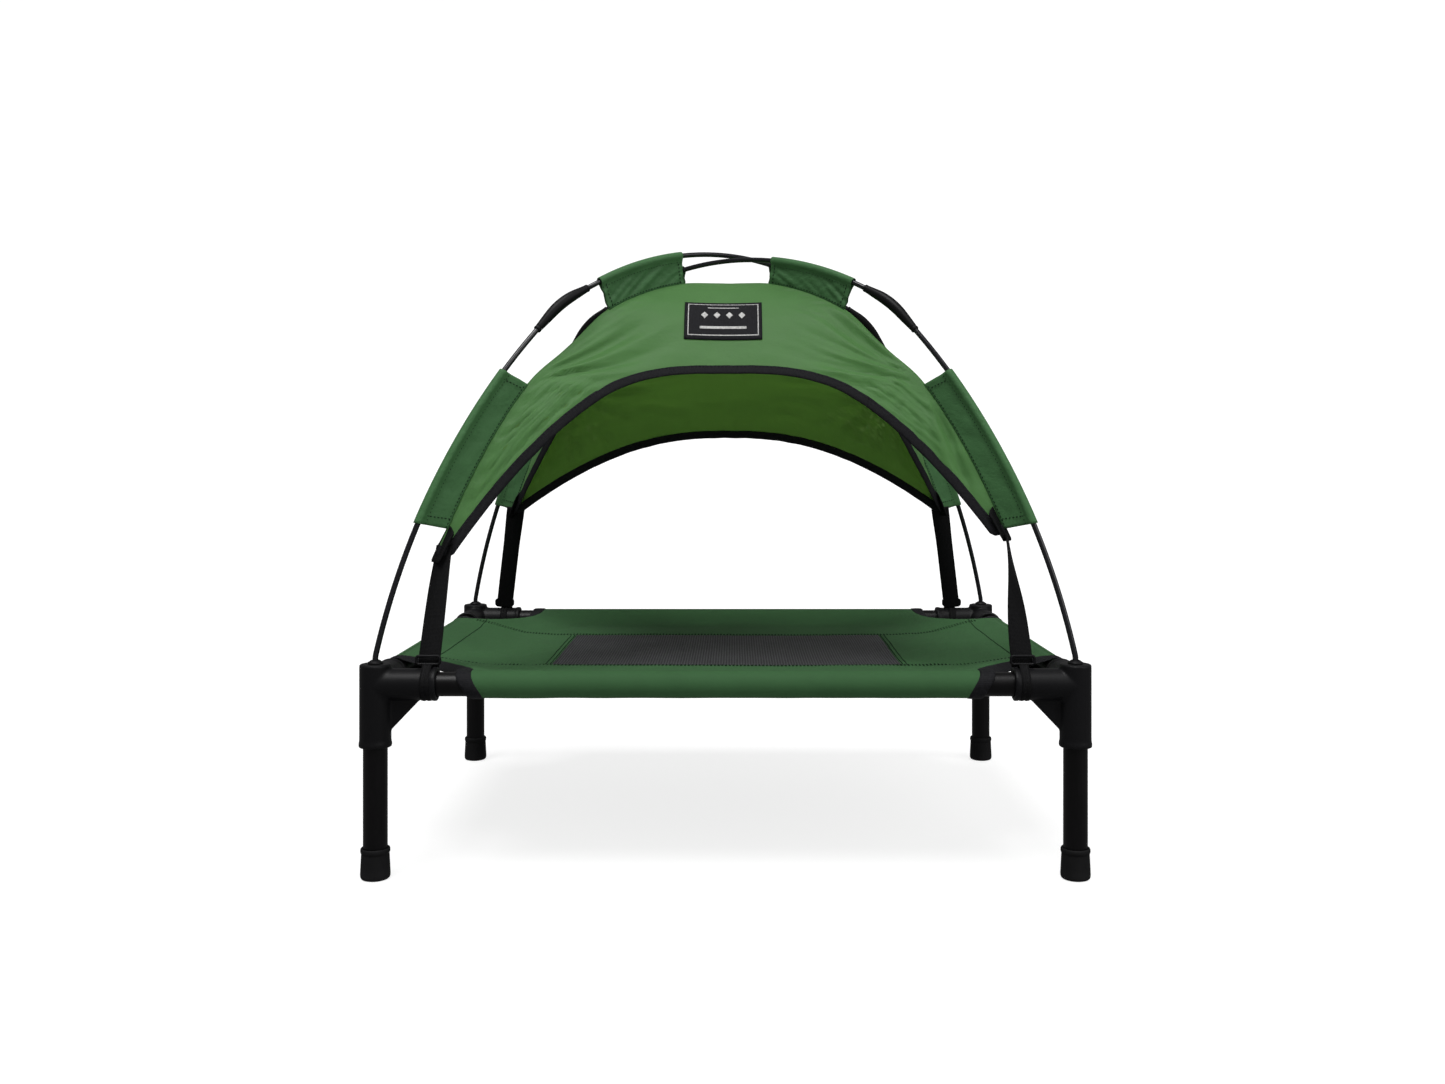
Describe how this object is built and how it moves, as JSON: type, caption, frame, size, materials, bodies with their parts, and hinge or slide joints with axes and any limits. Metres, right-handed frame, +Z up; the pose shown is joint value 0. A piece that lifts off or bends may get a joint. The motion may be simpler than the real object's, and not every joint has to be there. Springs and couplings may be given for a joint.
{
  "type": "raised pet cot with shade canopy",
  "caption": "Raised pet cot: sewn sling deck with mesh on a tube frame with push-in legs, and a fabric shade canopy on crossed poles.",
  "frame": {"origin": "on the floor under the middle of the cot, at the bottom centre of the whole object's box", "axes": "+X to the right along the long side, +Y to the back, +Z up; the front faces -Y"},
  "size_m": [0.6076, 0.4594, 0.5488],
  "materials": {
    "moulded_plastic": "black satin moulding",
    "painted_tube": "black gloss powder coat",
    "foot_rubber": "matt black rubber",
    "deck_fabric": "green coated polyester, sewn",
    "mesh_fabric": "black coated mesh",
    "binding_tape": "black bias tape",
    "webbing": "black ribbed webbing",
    "pole_rod": "black glossy fibre rod",
    "canopy_fabric": "green coated polyester, thin",
    "fin_fabric": "dark green doubled polyester",
    "label_weave": "black woven patch"
  },
  "bodies": {
    "cot": {"corner_front_left": "moulded_plastic", "corner_front_right": "moulded_plastic", "corner_rear_left": "moulded_plastic", "corner_rear_right": "moulded_plastic", "rail_front": "painted_tube", "rail_rear": "painted_tube", "rail_left": "painted_tube", "rail_right": "painted_tube", "sleeve_front": "deck_fabric", "sleeve_rear": "deck_fabric", "sleeve_left": "deck_fabric", "sleeve_right": "deck_fabric", "deck_left": "deck_fabric", "deck_right": "deck_fabric", "mesh_panel": "mesh_fabric", "corner_trims": "binding_tape", "pole_grommets": "moulded_plastic", "strap_loops": "webbing", "strap_buckles": "moulded_plastic"},
    "canopy": {"lower_rod_front_left": "pole_rod", "lower_rod_front_right": "pole_rod", "lower_rod_rear_left": "pole_rod", "lower_rod_rear_right": "pole_rod", "elbow_front_left": "moulded_plastic", "elbow_front_right": "moulded_plastic", "elbow_rear_left": "moulded_plastic", "elbow_rear_right": "moulded_plastic", "upper_rod_over": "pole_rod", "upper_rod_under": "pole_rod", "canopy_front": "canopy_fabric", "canopy_rear": "canopy_fabric", "canopy_left": "canopy_fabric", "canopy_right": "canopy_fabric", "canopy_binding": "binding_tape", "lower_fin_front_left": "fin_fabric", "lower_fin_front_right": "fin_fabric", "lower_fin_rear_left": "fin_fabric", "lower_fin_rear_right": "fin_fabric", "upper_fin_front_left": "fin_fabric", "upper_fin_front_right": "fin_fabric", "upper_fin_rear_left": "fin_fabric", "upper_fin_rear_right": "fin_fabric", "label_patch": "label_weave", "corner_tabs": "webbing", "strap_front_left": "webbing", "strap_front_right": "webbing", "strap_rear_left": "webbing", "strap_rear_right": "webbing"},
    "front_left_leg": {"leg_front_left": "painted_tube", "foot_front_left": "foot_rubber"},
    "front_right_leg": {"leg_front_right": "painted_tube", "foot_front_right": "foot_rubber"},
    "rear_left_leg": {"leg_rear_left": "painted_tube", "foot_rear_left": "foot_rubber"},
    "rear_right_leg": {"leg_rear_right": "painted_tube", "foot_rear_right": "foot_rubber"}
  },
  "joints": [
    {"name": "canopy_lift", "type": "slide", "parent": "cot", "child": "canopy", "axis": [0, 0, 1], "range_m": [0, 0.026], "deforming": ["strap_front_left", "strap_front_right", "strap_rear_left", "strap_rear_right"]},
    {"name": "front_left_leg_pull", "type": "slide", "parent": "cot", "child": "front_left_leg", "axis": [0, 0, -1], "range_m": [0, 0.045]},
    {"name": "front_right_leg_pull", "type": "slide", "parent": "cot", "child": "front_right_leg", "axis": [0, 0, -1], "range_m": [0, 0.045]},
    {"name": "rear_left_leg_pull", "type": "slide", "parent": "cot", "child": "rear_left_leg", "axis": [0, 0, -1], "range_m": [0, 0.045]},
    {"name": "rear_right_leg_pull", "type": "slide", "parent": "cot", "child": "rear_right_leg", "axis": [0, 0, -1], "range_m": [0, 0.045]}
  ]
}
